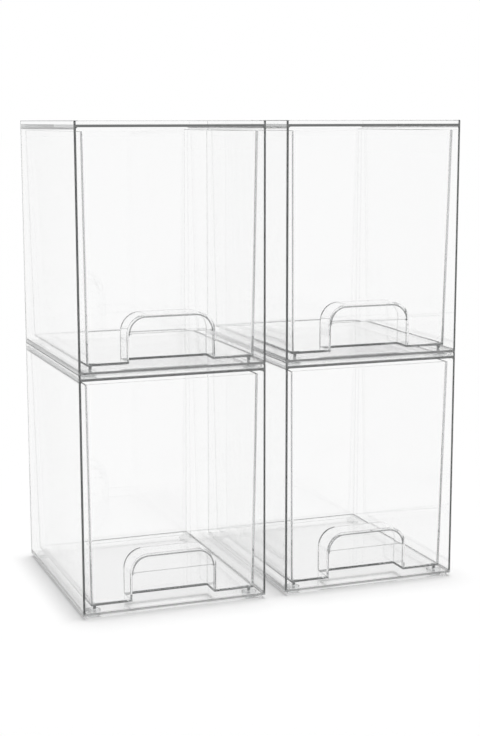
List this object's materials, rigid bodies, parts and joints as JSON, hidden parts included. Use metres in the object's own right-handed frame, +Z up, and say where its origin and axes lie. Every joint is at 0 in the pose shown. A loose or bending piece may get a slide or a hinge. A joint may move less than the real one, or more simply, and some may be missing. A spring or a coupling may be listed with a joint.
{
  "type": "stackable organizer drawers",
  "caption": "Clear moulded organizer drawers that stack: open-front cases with nesting rims, pull-out drawers with arched finger pockets, and round bumper feet.",
  "frame": {"origin": "middle of the set's footprint, on the table that the feet stand on", "axes": "+Z up, -Y out of the drawer fronts, +X to the right as seen from the front"},
  "size_m": [0.2852, 0.164, 0.3406],
  "materials": {
    "clear_case": "clear gloss",
    "clear_drawer": "clear gloss",
    "clear_foot": "clear satin"
  },
  "bodies": {
    "lower_left_shell": {"lower_left_case": "clear_case", "lower_left_foot_front_left": "clear_foot", "lower_left_foot_front_right": "clear_foot", "lower_left_foot_back_left": "clear_foot", "lower_left_foot_back_right": "clear_foot"},
    "lower_left_drawer": {"lower_left_drawer": "clear_drawer"},
    "lower_right_shell": {"lower_right_case": "clear_case", "lower_right_foot_front_left": "clear_foot", "lower_right_foot_front_right": "clear_foot", "lower_right_foot_back_left": "clear_foot", "lower_right_foot_back_right": "clear_foot"},
    "lower_right_drawer": {"lower_right_drawer": "clear_drawer"},
    "upper_left_shell": {"upper_left_case": "clear_case", "upper_left_foot_front_left": "clear_foot", "upper_left_foot_front_right": "clear_foot", "upper_left_foot_back_left": "clear_foot", "upper_left_foot_back_right": "clear_foot"},
    "upper_left_drawer": {"upper_left_drawer": "clear_drawer"},
    "upper_right_shell": {"upper_right_case": "clear_case", "upper_right_foot_front_left": "clear_foot", "upper_right_foot_front_right": "clear_foot", "upper_right_foot_back_left": "clear_foot", "upper_right_foot_back_right": "clear_foot"},
    "upper_right_drawer": {"upper_right_drawer": "clear_drawer"}
  },
  "joints": [
    {"name": "lower_left_drawer_slide", "type": "slide", "parent": "lower_left_shell", "child": "lower_left_drawer", "axis": [0, -1, 0], "range_m": [0, 0.12]},
    {"name": "lower_right_drawer_slide", "type": "slide", "parent": "lower_right_shell", "child": "lower_right_drawer", "axis": [0, -1, 0], "range_m": [0, 0.12]},
    {"name": "upper_left_drawer_slide", "type": "slide", "parent": "upper_left_shell", "child": "upper_left_drawer", "axis": [0, -1, 0], "range_m": [0, 0.12]},
    {"name": "upper_right_drawer_slide", "type": "slide", "parent": "upper_right_shell", "child": "upper_right_drawer", "axis": [0, -1, 0], "range_m": [0, 0.12]},
    {"name": "upper_left_lift", "type": "slide", "parent": "lower_left_shell", "child": "upper_left_shell", "axis": [0, 0, 1], "range_m": [0, 0.06]},
    {"name": "upper_right_lift", "type": "slide", "parent": "lower_right_shell", "child": "upper_right_shell", "axis": [0, 0, 1], "range_m": [0, 0.06]},
    {"name": "right_stack_shift", "type": "slide", "parent": "lower_left_shell", "child": "lower_right_shell", "axis": [1, 0, 0], "range_m": [-0.0148, 0.06]}
  ]
}
